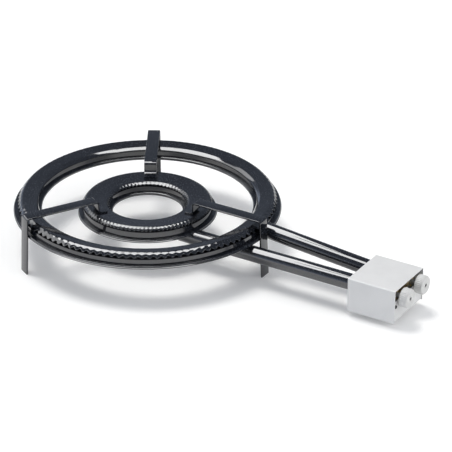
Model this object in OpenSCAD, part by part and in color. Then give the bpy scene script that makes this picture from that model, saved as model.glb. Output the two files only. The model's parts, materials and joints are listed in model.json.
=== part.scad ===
// Two-ring gas burner for a paella pan: corrugated ring caps on pressed pans, three bent strip legs,
// two mixing tubes and a control box with two push-and-turn gas taps.
// Millimetres, +Z up. The origin is the burner's axis on the floor, and +X runs to the knobs.

/* [Rings] */
// Diameter over the rim of the outer ring
outer_rim_d = 400; // [350:1:440]
// Radial width of the outer ring, from its rim to its hole
outer_ring_w = 42.5; // [38:0.5:60]
// Diameter over the rim of the inner ring
inner_rim_d = 208; // [196:1:216]
// Diameter of the hole through the inner ring
inner_hole_d = 104; // [90:1:112]
// Thickness of the pressed ring sheet
ring_sheet = 1.2; // [0.8:0.1:1.6]
// Radial width of the outer edge's rolled rim
rim_w = 6.5; // [4:0.1:8]
// Radial width of the hole edge's rolled rim
hole_rim_w = 5.2; // [4:0.1:7]
// Height of the rolled rims
rim_h = 5; // [3.5:0.1:6]
// Height of the outer ring's smooth wall above its rim
outer_wall_h = 7.6; // [5:0.1:11]
// Height of the inner ring's smooth wall above its rim
inner_wall_h = 9.4; // [7:0.1:13]
// Radial width of the outer ring's corrugated shoulder
outer_shoulder_w = 7; // [5.5:0.1:9]
// Height of the outer ring's corrugated shoulder
outer_shoulder_h = 7.3; // [5:0.1:9]
// Radial width of the inner ring's outer corrugated shoulder
inner_shoulder_w = 5.6; // [5:0.1:8]
// Height of the inner ring's outer corrugated shoulder
inner_shoulder_h = 5.6; // [4:0.1:8]
// Radial width of the inner ring's corrugated shoulder round its hole
hole_shoulder_w = 7.6; // [6:0.1:9]
// Height of the inner ring's corrugated shoulder round its hole
hole_shoulder_h = 3.6; // [2.5:0.1:5]
// Radial width of the outer ring's smooth shoulder round its hole
smooth_shoulder_w = 9.5; // [7:0.1:12]
// Height of the outer ring's smooth shoulder round its hole
smooth_shoulder_h = 6.4; // [5:0.1:8]
// Fall of the top faces towards the burner's axis, in degrees
top_fall = 6; // [2:0.5:9]
// Pitch of the corrugations along the outer ring's shoulder
corrugation_pitch = 11.2; // [8:0.1:16]
// Pitch of the corrugations along the inner ring's shoulders
inner_pitch = 6.2; // [5:0.1:12]
// Radial depth of the ports between two corrugations
port_depth = 4.2; // [2.5:0.1:4.4]

/* [Legs] */
// Width of the leg strip
leg_w = 19; // [12:0.5:20]
// Thickness of the leg strip
leg_t = 2.5; // [2:0.1:4]
// Outward lean of the legs, in degrees
leg_lean = 2.5; // [0:0.1:5]
// Height of the arms' top face above the outer ring's crest
arm_rise = 10.8; // [7:0.1:20]
// Length of the foot flange that lies on the inner ring's cap
flange_len = 13; // [8:0.5:16]
// Distance of the drop's outer face inside the inner ring's crest
flange_inset = 5.4; // [0.5:0.1:7]
// Bend radius along the strip's face
leg_bend_r = 4.5; // [3:0.1:5]

/* [Tubes] */
// Outside diameter of the mixing tubes
tube_d = 24; // [20:0.1:26]
// Wall of the mixing tubes
tube_wall = 1.5; // [1:0.1:2.5]
// Gap between the inner ring's tube and the outer ring above it
tube_under_gap = 2.6; // [1:0.1:6]
// How far the inner ring's tube rises into the inner ring
tube_into_inner = 5.6; // [4.5:0.1:7]
// Height of the outer ring's tube axis above that ring's underside, at the rim
tube_into_outer = 2.4; // [1:0.1:4]
// Length of each tube inside the control box
tube_in_box = 8; // [4:0.5:10]
// Distance of the tubes' closed ends from the hole-side walls of their rings
tube_end_inset = 16; // [10:0.5:18]
// Length of the window that lets the gas out of a tube into its ring
tube_window_len = 10; // [6:0.5:11]
// Width of that window
tube_window_w = 12; // [8:0.5:14]

/* [Control box] */
// Distance from the burner's axis to the back of the box
box_back_x = 366; // [330:1:420]
// Length of the box along the handle
box_len = 76; // [74:1:90]
// Width of the box across the handle
box_w = 85.4; // [84:0.2:100]
// Height of the box
box_h = 52; // [50:0.5:56]
// Height of the box's top above the tap axes
box_over_taps = 16; // [15.5:0.1:20]
// Thickness of the box sheet
box_sheet = 1.2; // [0.8:0.1:1.6]
// How far the front plate is set back from the cover's edge
plate_recess = 1.5; // [0.5:0.1:3]
// Height of the front plate's top edge below the tap axes
plate_drop = 3; // [1:0.1:6]
// Width of the tabs that take the cover screws
tab_w = 8; // [7:0.1:8.6]

/* [Gas taps] */
// Height of the tap axes above the floor
tap_z = 44; // [42:0.5:50]
// Distance between the two tap axes
tap_spacing = 46; // [42:0.5:50]
// Diameter of the tap barrel
barrel_d = 19; // [18:0.1:21]
// Distance from the front plate back to the tap barrels
tap_setback = 12.5; // [10.5:0.1:15]
// Length of the tap barrel
barrel_len = 32; // [31:0.5:36]
// Diameter of the plug inside the barrel
plug_d = 12; // [11:0.1:13]
// Length of the plug
plug_len = 16; // [14:0.5:17]
// Diameter of the tap spindle
spindle_d = 8; // [7:0.1:8.4]
// Travel of the knob when it is pushed
push_travel = 3; // [2:0.1:3.4]
// Diameter of the knob
knob_d = 28; // [22:0.5:30]
// Length of the knob
knob_len = 12.8; // [11:0.1:18]
// Number of grip flutes round the knob
knob_flutes = 20; // [12:1:30]
// Diameter of the recess in the middle of the knob's face
knob_recess_d = 5.4; // [5:0.1:7]

/* [Gas feed] */
// Width of the manifold bar along the handle
bar_w = 16; // [15:0.5:20]
// Height of the manifold bar
bar_h = 18; // [17:0.5:20]
// Diameter of the gas way in the manifold bar
gas_way_d = 8; // [5:0.5:9]
// Diameter of the hose tail
hose_tail_d = 9.6; // [8:0.1:12]
// Length of the plain stretch of the hose tail
hose_tail_len = 12; // [10:0.5:20]
// Diameter of the inlet thread
inlet_thread_d = 13; // [10:0.1:13.5]

/* [Hidden] */
$fn = 96;
// Gap at welded and seated joints
weld_gap = 0.05;
// Radial clearance of running fits
run_gap = 0.05;
// Radial clearance round screws
screw_gap = 0.2;
// Overlap that fuses two shapes of one piece
fuse = 0.6;
// Extra reach of a cutting shape
over = 1;

outer_rim_r = outer_rim_d / 2;
inner_rim_r = inner_rim_d / 2;
outer_hole_d = outer_rim_d - 2 * outer_ring_w;
outer_hole_r = outer_hole_d / 2;
inner_hole_r = inner_hole_d / 2;
outer_base_z = tap_z + tube_d / 2 + tube_under_gap;
inner_base_z = tap_z + tube_d / 2 - tube_into_inner;
outer_wall_r = outer_rim_r - rim_w;
inner_wall_r = inner_rim_r - rim_w;
outer_hole_wall_r = outer_hole_r + hole_rim_w;
inner_hole_wall_r = inner_hole_r + hole_rim_w;
outer_rim_z = outer_base_z + rim_h;
outer_wall_z = outer_rim_z + outer_wall_h;
inner_wall_z = inner_base_z + rim_h + inner_wall_h;
// The caps' corrugated edges stand on the pans' walls
outer_edge_z = outer_wall_z + ring_sheet;
inner_edge_z = inner_wall_z + ring_sheet;
outer_crest_r = outer_wall_r - outer_shoulder_w;
inner_crest_r = inner_wall_r - inner_shoulder_w;
outer_crest_z = outer_edge_z + outer_shoulder_h;
inner_crest_z = inner_edge_z + inner_shoulder_h;
// Where each top face meets the shoulder round the hole
outer_top_r = outer_hole_wall_r + smooth_shoulder_w;
inner_top_r = inner_hole_wall_r + hole_shoulder_w;
outer_top_z = outer_crest_z - (outer_crest_r - outer_top_r) * tan(top_fall);
inner_top_z = inner_crest_z - (inner_crest_r - inner_top_r) * tan(top_fall);
outer_hole_edge_z = outer_top_z - smooth_shoulder_h;
inner_hole_edge_z = inner_top_z - hole_shoulder_h;
outer_hole_wall_z = outer_hole_edge_z - ring_sheet;
inner_hole_wall_z = inner_hole_edge_z - ring_sheet;
// Bend of the smooth shoulder: a third of its width from the wall, two fifths of its height down
smooth_knee = [outer_hole_wall_r + smooth_shoulder_w / 3, outer_top_z - 0.4 * smooth_shoulder_h];

arm_z = outer_crest_z + arm_rise;
leg_angles = [0, 120, 240];
bend_steps = 8;
// Radius of the leg's outer face at a height: its inner face touches the outer ring's rim
function leg_face_r(z) = outer_rim_r + weld_gap + leg_t / cos(leg_lean) + (outer_rim_z - z) * tan(leg_lean);
drop_r = inner_crest_r - flange_inset - leg_t;
flange_end_r = drop_r - flange_len;
// Height of the inner ring's top face at a radius
function inner_top_at(r) = inner_crest_z - (inner_crest_r - r) * tan(top_fall);
flange_lift = leg_t / cos(top_fall) + weld_gap;

box_front_x = box_back_x + box_len;
box_top_z = tap_z + box_over_taps;
box_bottom_z = box_top_z - box_h;
box_bend_r = 2.4;
plate_x = box_front_x - plate_recess;
plate_top_z = tap_z - plate_drop;
frame_w = box_w - 2 * box_sheet - 2 * screw_gap;
frame_back_top_z = box_top_z - box_sheet - screw_gap;
floor_top_z = box_bottom_z + box_sheet;
notch_gap = 3;
plate_notch_d = spindle_d + 2 * notch_gap;
screw_d = 3;
screw_head_d = 5.8;
screw_head_h = 1.8;
screw_len = 6;
tab_h = 12;
inlet_hole_gap = 0.9;
// Depth of the cover screws below the tap axes, at the front plate and at the back wall
front_screw_drop = 11;
back_screw_drop = 22;
front_screw_z = tap_z - front_screw_drop;
back_screw_z = tap_z - back_screw_drop;
cover_screw_y = box_w / 2 - box_sheet - tab_w / 2;

tap_y = [-tap_spacing / 2, tap_spacing / 2];
// End clearance of the moving pieces inside a tap
end_gap = 0.5;
barrel_front_x = plate_x - tap_setback;
barrel_back_x = barrel_front_x - barrel_len;
bonnet_t = 4;
bonnet_x = barrel_front_x + bonnet_t;
jet_web = 1.2;
injector_stub_len = 6;
bore_back_x = barrel_back_x + injector_stub_len + end_gap + jet_web;
plug_back_x = bore_back_x + end_gap;
plug_front_x = plug_back_x + plug_len;
collar_t = 2;
collar_gap = 0.1;
collar_front_x = barrel_front_x - collar_gap;
collar_back_x = collar_front_x - collar_t;
collar_d = plug_d - 2 * screw_gap;
tongue_w = 3;
tongue_h = 8;
tongue_gap = 0.1;
slot_depth = 9;
slot_back_x = plug_front_x - slot_depth;
tongue_back_x = slot_back_x + push_travel + end_gap;
gas_port_d = 4;
inlet_x = plug_back_x + gas_port_d;
knob_clear = 0.7;
knob_back_x = plate_x + push_travel + knob_clear;
knob_front_x = knob_back_x + knob_len;
knob_recess_depth = 2.4;
knob_web = 1.1;
knob_recess_x = knob_front_x - knob_recess_depth;
knob_socket_x = knob_recess_x - knob_web;
flat_depth = 1.2;
knob_bevel = 1.4;
flute_r = 1.1;
knob_screw_d = 3;
knob_screw_len = 8;
knob_head_gap = 0.4;
knob_head_h = 1.6;
bonnet_screw_d = 2;
bonnet_screw_r = (plug_d + barrel_d) / 4;
bonnet_screw_len = 8;
bonnet_head_d = 3.4;
bonnet_head_h = 1.4;
bonnet_screw_angles = [45, 225];

spring_wire = 0.7;
spring_turns = 2.5;
spring_r = (plug_d - spring_wire) / 2 - end_gap;
spring_back_x = plug_front_x + weld_gap;
spring_front_x = collar_back_x - weld_gap;
spring_sides = 6;
spring_steps = 30;

boss_d = 14;
boss_drop = barrel_d / 2 + end_gap;
boss_z = tap_z - boss_drop;
stub_d = 9.8;
stub_len = 7;
seal_t = 1;
bar_top_z = boss_z - seal_t;
bar_z = bar_top_z - bar_h / 2;
bar_bottom_z = bar_top_z - bar_h;
// Gaps between the ends of the manifold bar and the cover's side walls
bar_near_gap = 5.5;
bar_far_gap = 3.5;
bar_near_y = box_sheet + bar_near_gap - box_w / 2;
bar_far_y = box_w / 2 - box_sheet - bar_far_gap;
// The inlet thread stops this far short of the tap's stub
thread_clear = 2.1;
inlet_thread_len = bar_far_y - tap_y[1] - stub_d / 2 - thread_clear;
washer_t = 1;
hex_w = 17;
hex_d = hex_w / cos(30);
hex_len = 7;
hex_y = bar_far_y + washer_t;
tail_y = hex_y + hex_len;
barb_len = 3.2;
barb_count = 3;
barb_depth = 0.8;
tip_len = 1.6;
hose_bore_d = 5.5;
injector_stub_d = 8;
injector_hex_w = 10;
injector_hex_len = 5;
injector_nose_d = 7;
injector_nose_len = 9;
injector_tip_d = 4;
injector_tip_wall = 2;
injector_jet_d = 1;
injector_way_d = 3;
bolt_d = 4;
bolt_head_w = 7;
bolt_head_h = 2.8;
bolt_grip = 4;
bolt_y = 8;
spacer_d = 12;

tube_mouth_x = box_back_x + tube_in_box;
// The outer ring's tube points at its jet, which lies this far behind the tap barrel
jet_reach = 6;
jet_x = barrel_back_x - jet_reach;
outer_tube_rise = outer_base_z + tube_into_outer - tap_z;
outer_tube_slope = atan(outer_tube_rise / (jet_x - outer_rim_r));
outer_tube_mouth_z = tap_z + (jet_x - tube_mouth_x) * tan(outer_tube_slope);
outer_tube_end_x = outer_hole_wall_r + tube_end_inset;
inner_tube_end_x = inner_hole_wall_r + tube_end_inset;
outer_tube_len = (tube_mouth_x - outer_tube_end_x) / cos(outer_tube_slope);
inner_tube_len = tube_mouth_x - inner_tube_end_x;

enamel = "#2b2d33";
white_sheet = "#eceeee";
knob_grey = "#cfd0ce";
brass = "#c6a352";
steel = "#b4b6b8";
copper = "#b0703f";

// Geometry helpers
function unit(v) = v / norm(v);
function left_of(a, b) = let (u = unit(b - a)) [-u[1], u[0]];
function reversed(p) = [for (i = [len(p) - 1 : -1 : 0]) p[i]];
function flat(lists) = [for (part = lists) for (point = part) point];
// One point of a polyline moved to its left by d, mitred at corners
function shifted(p, i, d) =
    let (last = len(p) - 1)
    let (before = left_of(p[max(i - 1, 0)], p[max(i, 1)]))
    let (after = left_of(p[min(i, last - 1)], p[min(i + 1, last)]))
    p[i] + d * (before + after) / (1 + before * after);
// Outline of a sheet of thickness d whose one face follows the polyline
function sheet_outline(p, d) = concat(p, reversed([for (i = [0 : len(p) - 1]) shifted(p, i, d)]));
function turned(v, a) = [v[0] * cos(a) - v[1] * sin(a), v[0] * sin(a) + v[1] * cos(a)];
// Arc of radius r that rounds the corner b between a and c
function corner_arc(a, b, c, r, steps) =
    let (to_a = unit(a - b), to_c = unit(c - b))
    let (half = acos(to_a * to_c) / 2)
    let (start = b + to_a * r / tan(half))
    let (centre = b + unit(to_a + to_c) * r / sin(half))
    let (way = to_a[0] * to_c[1] - to_a[1] * to_c[0] > 0 ? -1 : 1)
    [for (k = [0 : steps]) centre + turned(start - centre, way * (180 - 2 * half) * k / steps)];
// Polyline with every inner corner rounded
function rounded(p, r, steps) = concat(
    [p[0]],
    flat([for (i = [1 : len(p) - 2]) corner_arc(p[i - 1], p[i], p[i + 1], r, steps)]),
    [p[len(p) - 1]]);

// A profile in radius and height, carried round the burner's axis
module revolved(outline) {
    rotate_extrude($fn = 180) polygon(outline);
}

// A cylinder along +X from x0 to x1 on the axis at y, z
module rod_x(x0, x1, d, y = 0, z = 0) {
    translate([x0, y, z]) rotate([0, 90, 0]) cylinder(d = d, h = x1 - x0);
}

// Zigzag round the axis, with its tips at one radius and its roots at another
module zigzag(tip_r, root_r, h, pitch) {
    teeth = round(2 * PI * max(tip_r, root_r) / pitch);
    linear_extrude(h) polygon([for (i = [0 : 2 * teeth - 1])
        (i % 2 == 0 ? tip_r : root_r) * [cos(180 * i / teeth), sin(180 * i / teeth)]]);
}

// Ports of a shoulder that faces outwards: all that lies beyond the zigzag, from edge to crest
module outward_ports(edge_r, edge_z, crest_z, pitch) {
    low_z = edge_z - 2 * ring_sheet;
    translate([0, 0, low_z]) difference() {
        cylinder(r = edge_r + 2 * over, h = crest_z - low_z);
        translate([0, 0, -over])
            zigzag(edge_r + weld_gap, edge_r - port_depth, crest_z - low_z + 2 * over, pitch);
    }
}

// Ports of a shoulder that faces the hole: all that lies inside the zigzag
module inward_ports(edge_r, edge_z, crest_z, pitch) {
    low_z = edge_z - 2 * ring_sheet;
    translate([0, 0, low_z]) zigzag(edge_r - weld_gap, edge_r + port_depth, crest_z - low_z + over, pitch);
}

// Pressed pan: two walls, two rolled rims and the floor between them
module ring_pan(rim_r, wall_r, hole_r, hole_wall_r, base_z, wall_z, hole_wall_z) {
    path = [
        [wall_r, wall_z], [wall_r, base_z + rim_h], [rim_r, base_z + rim_h], [rim_r, base_z],
        [hole_r, base_z], [hole_r, base_z + rim_h], [hole_wall_r, base_z + rim_h], [hole_wall_r, hole_wall_z]];
    revolved(sheet_outline(path, -ring_sheet));
}

module outer_ring_cap() color(enamel) {
    path = [[outer_wall_r, outer_edge_z], [outer_crest_r, outer_crest_z], [outer_top_r, outer_top_z],
        smooth_knee, [outer_hole_wall_r, outer_hole_edge_z]];
    difference() {
        revolved(sheet_outline(path, ring_sheet));
        outward_ports(outer_wall_r, outer_edge_z, outer_crest_z, corrugation_pitch);
        along_outer_tube() tube_cut(outer_tube_len);
    }
}

module outer_ring_pan() color(enamel) difference() {
    ring_pan(outer_rim_r, outer_wall_r, outer_hole_r, outer_hole_wall_r, outer_base_z, outer_wall_z,
        outer_hole_wall_z);
    along_outer_tube() tube_cut(outer_tube_len);
}

module inner_ring_cap() color(enamel) {
    path = [[inner_wall_r, inner_edge_z], [inner_crest_r, inner_crest_z], [inner_top_r, inner_top_z],
        [inner_hole_wall_r, inner_hole_edge_z]];
    difference() {
        revolved(sheet_outline(path, ring_sheet));
        outward_ports(inner_wall_r, inner_edge_z, inner_crest_z, inner_pitch);
        inward_ports(inner_hole_wall_r, inner_hole_edge_z, inner_top_z, inner_pitch);
    }
}

module inner_ring_pan() color(enamel) difference() {
    ring_pan(inner_rim_r, inner_wall_r, inner_hole_r, inner_hole_wall_r, inner_base_z, inner_wall_z,
        inner_hole_wall_z);
    along_inner_tube() tube_cut(inner_tube_len);
}

// Leg, arm and foot flange: one strip bent three times
module leg(angle) color(enamel) {
    path = rounded([
        [leg_face_r(-leg_t), -leg_t], [leg_face_r(arm_z), arm_z], [drop_r, arm_z],
        [drop_r, inner_top_at(drop_r) + flange_lift],
        [flange_end_r, inner_top_at(flange_end_r) + flange_lift]], leg_bend_r, bend_steps);
    rotate([0, 0, angle]) difference() {
        rotate([90, 0, 0]) linear_extrude(leg_w, center = true) polygon(sheet_outline(path, leg_t));
        translate([0, -leg_w, -2 * leg_t]) cube([2 * outer_rim_r, 2 * leg_w, 2 * leg_t]);
    }
}

module leg_tube_side() leg(leg_angles[0]);
module leg_far_side() leg(leg_angles[1]);
module leg_near_side() leg(leg_angles[2]);

// Frames at the tubes' mouths, with +Z along the tube to its ring and +X on its upper side
module along_outer_tube() {
    translate([tube_mouth_x, tap_y[1], outer_tube_mouth_z]) rotate([0, outer_tube_slope - 90, 0]) children();
}

module along_inner_tube() {
    translate([tube_mouth_x, tap_y[0], tap_z]) rotate([0, -90, 0]) children();
}

// What a tube takes out of the sheet that it is welded into
module tube_cut(length) {
    translate([0, 0, -over]) cylinder(d = tube_d + 2 * weld_gap, h = length + over + weld_gap);
}

// Mixing tube: open at the jet, closed in the ring, with a window on top
module mixing_tube(length) {
    difference() {
        cylinder(d = tube_d, h = length);
        translate([0, 0, -over]) cylinder(d = tube_d - 2 * tube_wall, h = length - tube_wall + over);
        translate([0, -tube_window_w / 2, length - tube_wall - tube_window_len])
            cube([tube_d, tube_window_w, tube_window_len]);
    }
}

module outer_ring_tube() color(enamel) along_outer_tube() mixing_tube(outer_tube_len);
module inner_ring_tube() color(enamel) along_inner_tube() mixing_tube(inner_tube_len);

// Bent frame of the box: back wall, floor and low front plate
module control_box_frame() color(white_sheet) {
    path = rounded([[box_back_x, frame_back_top_z], [box_back_x, box_bottom_z], [plate_x, box_bottom_z],
        [plate_x, plate_top_z]], box_bend_r, 6);
    difference() {
        rotate([90, 0, 0]) linear_extrude(frame_w, center = true) polygon(sheet_outline(path, box_sheet));
        along_outer_tube() tube_cut(outer_tube_len);
        along_inner_tube() tube_cut(inner_tube_len);
        for (y = tap_y) rod_x(plate_x - 2 * box_sheet, plate_x + over, plate_notch_d, y, tap_z);
        for (side = [-1, 1]) {
            rod_x(plate_x - 2 * box_sheet, plate_x + over, screw_d + 2 * screw_gap, side * cover_screw_y,
                front_screw_z);
            rod_x(box_back_x - over, box_back_x + 2 * box_sheet, screw_d + 2 * screw_gap,
                side * cover_screw_y, back_screw_z);
            translate([inlet_x, side * bolt_y, box_bottom_z - over])
                cylinder(d = bolt_d + 2 * screw_gap, h = box_sheet + 2 * over);
        }
    }
}

// Tab bent in from a side wall of the cover, with the hole that a cover screw bites in
module cover_tab(x, side, z) {
    y0 = side * (box_w / 2 - fuse);
    y1 = side * (box_w / 2 - box_sheet - tab_w);
    difference() {
        translate([x, min(y0, y1), z - tab_h / 2]) cube([box_sheet, abs(y1 - y0), tab_h]);
        rod_x(x - over, x + box_sheet + over, screw_d + 2 * run_gap, side * cover_screw_y, z);
    }
}

// Inverted trough that makes the top and both sides of the box
module control_box_cover() color(white_sheet) {
    half = box_w / 2;
    path = rounded([[-half, box_bottom_z], [-half, box_top_z], [half, box_top_z], [half, box_bottom_z]],
        box_bend_r, 6);
    difference() {
        translate([box_back_x, 0, 0]) rotate([90, 0, 90]) linear_extrude(box_len)
            polygon(sheet_outline(path, -box_sheet));
        translate([inlet_x, half + over, bar_z]) rotate([90, 0, 0])
            cylinder(d = hex_d + 2 * inlet_hole_gap, h = box_sheet + 2 * over);
    }
    for (side = [-1, 1]) {
        cover_tab(plate_x - 2 * box_sheet - weld_gap, side, front_screw_z);
        cover_tab(box_back_x + box_sheet + weld_gap, side, back_screw_z);
    }
}

// Pan-head screw along +X with its head's underside at the origin
module pan_screw_x(d, length, head_d, head_h) {
    rod_x(-length, 0, d);
    rotate([0, 90, 0]) cylinder(d1 = head_d, d2 = head_d * 0.7, h = head_h);
}

module cover_screws() color(steel) for (side = [-1, 1]) {
    translate([plate_x, side * cover_screw_y, front_screw_z])
        pan_screw_x(screw_d, screw_len, screw_head_d, screw_head_h);
    translate([box_back_x, side * cover_screw_y, back_screw_z])
        rotate([0, 0, 180]) pan_screw_x(screw_d, screw_len, screw_head_d, screw_head_h);
}

// Brass bar that feeds both taps
module gas_manifold() color(brass) difference() {
    translate([inlet_x - bar_w / 2, bar_near_y, bar_bottom_z])
        cube([bar_w, bar_far_y - bar_near_y, bar_h]);
    translate([inlet_x, bar_far_y + over, bar_z]) rotate([90, 0, 0])
        cylinder(d = gas_way_d, h = bar_far_y - tap_y[0] + stub_d / 2 + over);
    translate([inlet_x, bar_far_y + over, bar_z]) rotate([90, 0, 0])
        cylinder(d = inlet_thread_d + 2 * run_gap, h = inlet_thread_len + over);
    for (y = tap_y) translate([inlet_x, y, bar_z]) cylinder(d = stub_d + 2 * run_gap, h = bar_h);
    for (side = [-1, 1]) translate([inlet_x, side * bolt_y, bar_bottom_z - over])
        cylinder(d = bolt_d + 2 * run_gap, h = bolt_grip + end_gap + over);
}

module manifold_spacers() color(steel) for (side = [-1, 1])
    translate([inlet_x, side * bolt_y, floor_top_z]) difference() {
        cylinder(d = spacer_d, h = bar_bottom_z - floor_top_z);
        translate([0, 0, -over]) cylinder(d = bolt_d + 2 * screw_gap, h = bar_h);
    }

module manifold_bolts() color(steel) for (side = [-1, 1])
    translate([inlet_x, side * bolt_y, box_bottom_z]) {
        translate([0, 0, -bolt_head_h]) cylinder(d = bolt_head_w / cos(30), h = bolt_head_h, $fn = 6);
        translate([0, 0, -fuse]) cylinder(d = bolt_d, h = bar_bottom_z - box_bottom_z + bolt_grip + fuse);
    }

// Inlet with a hexagon, a thread that screws into the manifold and a ridged tail for the hose
module hose_nipple() color(brass) {
    tail_r = hose_tail_d / 2;
    ridge = [for (i = [0 : barb_count - 1]) each [
        [tail_r, hose_tail_len + i * barb_len], [tail_r - barb_depth, hose_tail_len + i * barb_len]]];
    tip_z = hose_tail_len + barb_count * barb_len + tip_len;
    outline = concat([[hose_bore_d / 2, -fuse], [tail_r, -fuse]], ridge,
        [[tail_r, tip_z - tip_len], [tail_r - barb_depth, tip_z], [hose_bore_d / 2, tip_z]]);
    translate([inlet_x, 0, bar_z]) rotate([-90, 0, 0]) {
        translate([0, 0, tail_y]) rotate_extrude() polygon(outline);
        difference() {
            union() {
                translate([0, 0, hex_y]) cylinder(d = hex_d, h = hex_len, $fn = 6);
                translate([0, 0, bar_far_y - inlet_thread_len + end_gap])
                    cylinder(d = inlet_thread_d, h = inlet_thread_len + washer_t);
            }
            translate([0, 0, bar_near_y]) cylinder(d = hose_bore_d, h = tail_y + bar_far_y);
        }
    }
}

module nipple_washer() color(copper) translate([inlet_x, bar_far_y, bar_z]) rotate([-90, 0, 0])
    difference() {
        cylinder(d = hex_w, h = washer_t);
        translate([0, 0, -over]) cylinder(d = inlet_thread_d + 2 * screw_gap, h = washer_t + 2 * over);
    }

// Tap barrel with its inlet boss below and the jet's thread behind
module tap_body(y) color(brass) difference() {
    union() {
        rod_x(barrel_back_x, barrel_front_x, barrel_d, y, tap_z);
        translate([inlet_x, y, boss_z]) cylinder(d = boss_d, h = boss_drop);
        translate([inlet_x, y, boss_z - stub_len]) cylinder(d = stub_d, h = stub_len + boss_drop / 2);
    }
    rod_x(bore_back_x, barrel_front_x + over, plug_d + 2 * run_gap, y, tap_z);
    rod_x(barrel_back_x - over, barrel_back_x + injector_stub_len + end_gap, injector_stub_d + 2 * run_gap, y, tap_z);
    rod_x(barrel_back_x, bore_back_x + over, injector_way_d, y, tap_z);
    translate([inlet_x, y, boss_z - stub_len - over]) cylinder(d = gas_port_d, h = stub_len + boss_drop + over);
    bonnet_screw_places(y) rod_x(-bonnet_screw_len - end_gap, over, bonnet_screw_d + 2 * run_gap);
}

module tap_seal(y) color(copper) translate([inlet_x, y, bar_top_z]) difference() {
    cylinder(d = boss_d, h = seal_t);
    translate([0, 0, -over]) cylinder(d = stub_d + 2 * screw_gap, h = seal_t + 2 * over);
}

// The bonnet's screw places, on the front face of the barrel
module bonnet_screw_places(y) {
    for (a = bonnet_screw_angles)
        translate([barrel_front_x, y + bonnet_screw_r * cos(a), tap_z + bonnet_screw_r * sin(a)]) children();
}

module tap_bonnet(y) color(brass) difference() {
    rod_x(barrel_front_x, bonnet_x, barrel_d, y, tap_z);
    rod_x(barrel_front_x - over, bonnet_x + over, spindle_d + 2 * run_gap, y, tap_z);
    bonnet_screw_places(y) rod_x(-over, bonnet_t + over, bonnet_screw_d + 2 * screw_gap);
}

module bonnet_screws(y) color(steel) bonnet_screw_places(y) translate([bonnet_t, 0, 0])
    pan_screw_x(bonnet_screw_d, bonnet_screw_len + bonnet_t, bonnet_head_d, bonnet_head_h);

// Jet that blows gas into the mouth of a mixing tube
module injector(y) color(brass) translate([barrel_back_x, y, tap_z]) rotate([0, -90, 0]) difference() {
    union() {
        translate([0, 0, -injector_stub_len]) cylinder(d = injector_stub_d, h = injector_stub_len + fuse);
        cylinder(d = injector_hex_w / cos(30), h = injector_hex_len, $fn = 6);
        translate([0, 0, injector_hex_len])
            cylinder(d1 = injector_nose_d, d2 = injector_tip_d, h = injector_nose_len);
    }
    translate([0, 0, -injector_stub_len - over])
        cylinder(d = injector_way_d, h = over + injector_stub_len + injector_hex_len + injector_nose_len
            - injector_tip_wall);
    cylinder(d = injector_jet_d, h = 2 * (injector_hex_len + injector_nose_len));
}

// Plug with an axial gas way, a side port and the slot that the spindle's tongue slides in
module tap_plug(y) color(brass) difference() {
    rod_x(plug_back_x, plug_front_x, plug_d, y, tap_z);
    rod_x(plug_back_x - over, inlet_x, injector_way_d, y, tap_z);
    translate([inlet_x, y, tap_z]) rotate([-90, 0, 0]) cylinder(d = gas_port_d, h = plug_d);
    translate([slot_back_x, y - tongue_w / 2 - tongue_gap, tap_z - tongue_h / 2 - tongue_gap])
        cube([slot_depth + over, tongue_w + 2 * tongue_gap, tongue_h + 2 * tongue_gap]);
}

// Spindle with its tongue, its collar and the flat that carries the knob
module tap_spindle(y) color(steel) difference() {
    union() {
        rod_x(collar_back_x, collar_front_x, collar_d, y, tap_z);
        rod_x(collar_back_x + fuse, knob_socket_x - weld_gap, spindle_d, y, tap_z);
        translate([tongue_back_x, y - tongue_w / 2, tap_z - tongue_h / 2])
            cube([collar_back_x - tongue_back_x + fuse, tongue_w, tongue_h]);
    }
    translate([knob_back_x - over, y - spindle_d, tap_z + spindle_d / 2 - flat_depth])
        cube([knob_len, 2 * spindle_d, spindle_d]);
    rod_x(knob_socket_x - knob_screw_len, knob_socket_x + over, knob_screw_d + 2 * run_gap, y, tap_z);
}

// Coil spring between the plug and the spindle's collar, swept ring by ring along its helix
function spring_point(k) =
    let (share = k / spring_steps, turn = 360 * spring_turns * share)
    let (span = spring_front_x - spring_back_x - spring_wire)
    [spring_back_x + spring_wire / 2 + span * share, spring_r * cos(turn), spring_r * sin(turn)];
function spring_ring(k) =
    let (turn = 360 * spring_turns * k / spring_steps)
    [for (j = [0 : spring_sides - 1])
        let (a = 360 * j / spring_sides)
        spring_point(k) + spring_wire / 2 * [sin(a), cos(a) * cos(turn), cos(a) * sin(turn)]];
module tap_spring(y) color(steel) {
    points = flat([for (k = [0 : spring_steps]) spring_ring(k)]);
    sides = flat([for (k = [0 : spring_steps - 1]) for (j = [0 : spring_sides - 1])
        let (a = k * spring_sides + j, b = k * spring_sides + (j + 1) % spring_sides)
        [[a, b, b + spring_sides], [a, b + spring_sides, a + spring_sides]]]);
    last = spring_steps * spring_sides;
    ends = [for (j = [1 : spring_sides - 2]) each [[0, j + 1, j], [last, last + j, last + j + 1]]];
    translate([0, y, tap_z]) polyhedron(points, concat(sides, ends));
}

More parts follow.
